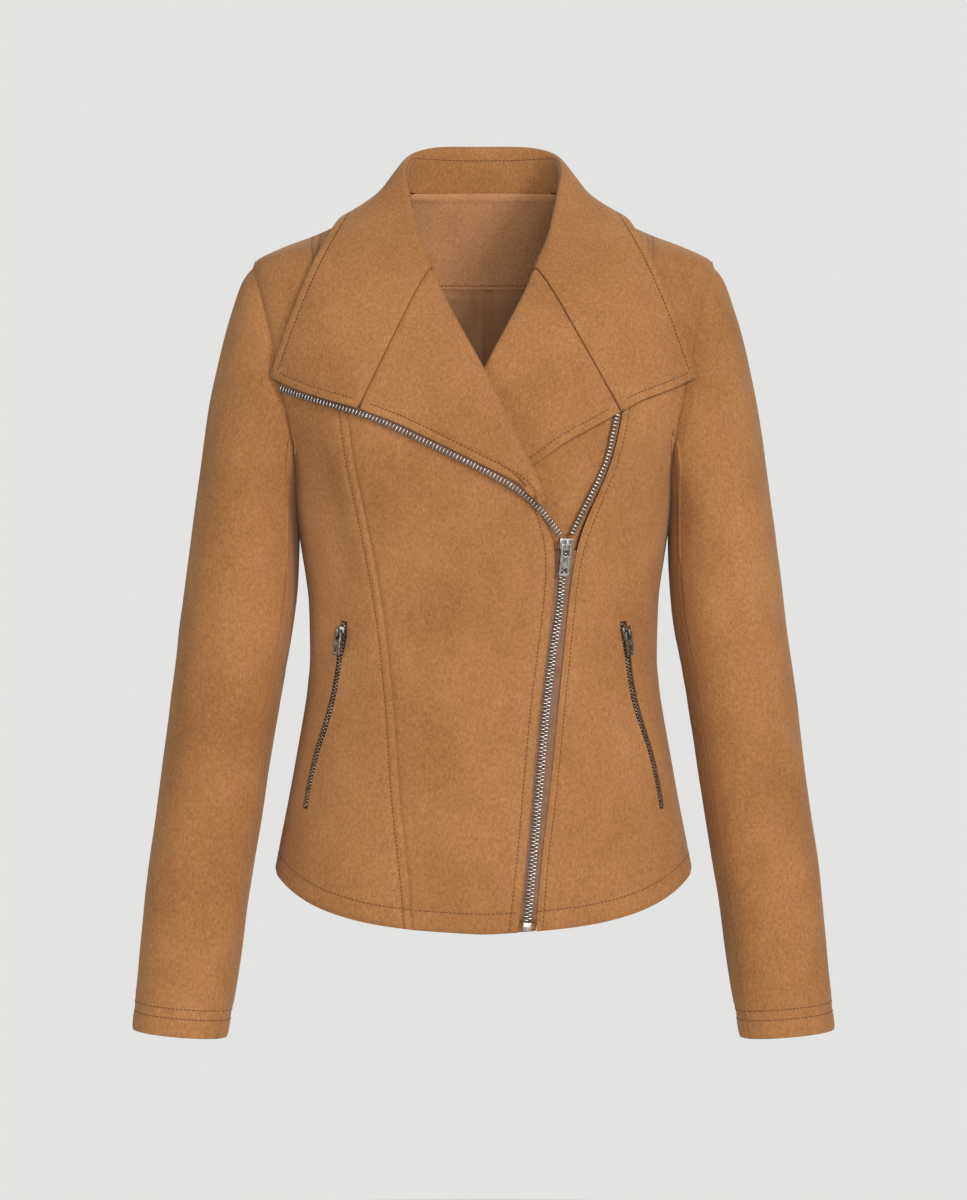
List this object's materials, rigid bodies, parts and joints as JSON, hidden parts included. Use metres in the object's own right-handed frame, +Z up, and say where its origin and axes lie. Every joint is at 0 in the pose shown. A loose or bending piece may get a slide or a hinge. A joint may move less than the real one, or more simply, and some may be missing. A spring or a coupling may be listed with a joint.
{
  "type": "suede jacket",
  "caption": "Tan suede-cloth jacket with an asymmetric front zip, wide turned-down collar and lapels, shaped seams, side zip pockets and open hem, neck and cuffs.",
  "frame": {"origin": "middle of the neck opening, level with the back neck seam, where the wearer's neck and shoulders hold the jacket", "axes": "+Z up along the body, +X towards the wearer's left, the front faces -Y"},
  "size_m": [0.5572, 0.2266, 0.7168],
  "materials": {
    "suede": "brushed suede nap",
    "satin_lining": "satin",
    "zip_tape": "woven tape",
    "aged_silver": "aged, brushed",
    "dark_metal": "dark, satin"
  },
  "bodies": {
    "root": {"right_back": "suede", "left_back": "suede", "right_front": "suede", "left_under_front": "suede", "right_side_front": "suede", "left_side_front": "suede", "collar": "suede", "right_lapel": "suede", "left_lapel": "suede", "right_top_sleeve": "suede", "right_under_sleeve": "suede", "left_top_sleeve": "suede", "left_under_sleeve": "suede", "back_neck_facing": "suede", "back_lining": "satin_lining", "right_zip_tape": "zip_tape", "left_zip_tape": "zip_tape", "right_open_zip_tape": "zip_tape", "left_open_zip_tape": "zip_tape", "right_pocket_tape": "zip_tape", "left_pocket_tape": "zip_tape", "closed_zip_chain": "aged_silver", "right_open_zip_chain": "aged_silver", "left_open_zip_chain": "aged_silver", "main_zip_slider": "aged_silver", "zip_retainer_box": "aged_silver", "right_pocket_chain": "dark_metal", "left_pocket_chain": "dark_metal", "right_pocket_slider": "dark_metal", "left_pocket_slider": "dark_metal"},
    "main_tab": {"main_zip_pull_tab": "aged_silver"},
    "right_pocket_tab": {"right_pocket_pull_tab": "dark_metal"},
    "left_pocket_tab": {"left_pocket_pull_tab": "dark_metal"}
  },
  "joints": [
    {"name": "main_tab_swing", "type": "hinge", "parent": "root", "child": "main_tab", "pos_m": [0.06465, -0.09661, -0.28678], "axis": [-0.9711, -0.2363, 0.0347], "range_deg": [0, 130]},
    {"name": "right_pocket_tab_swing", "type": "hinge", "parent": "root", "child": "right_pocket_tab", "pos_m": [-0.11349, -0.06535, -0.35534], "axis": [-0.7465, 0.6476, 0.1527], "range_deg": [0, 130]},
    {"name": "left_pocket_tab_swing", "type": "hinge", "parent": "root", "child": "left_pocket_tab", "pos_m": [0.11349, -0.06535, -0.35534], "axis": [-0.7465, -0.6476, -0.1527], "range_deg": [0, 130]}
  ]
}
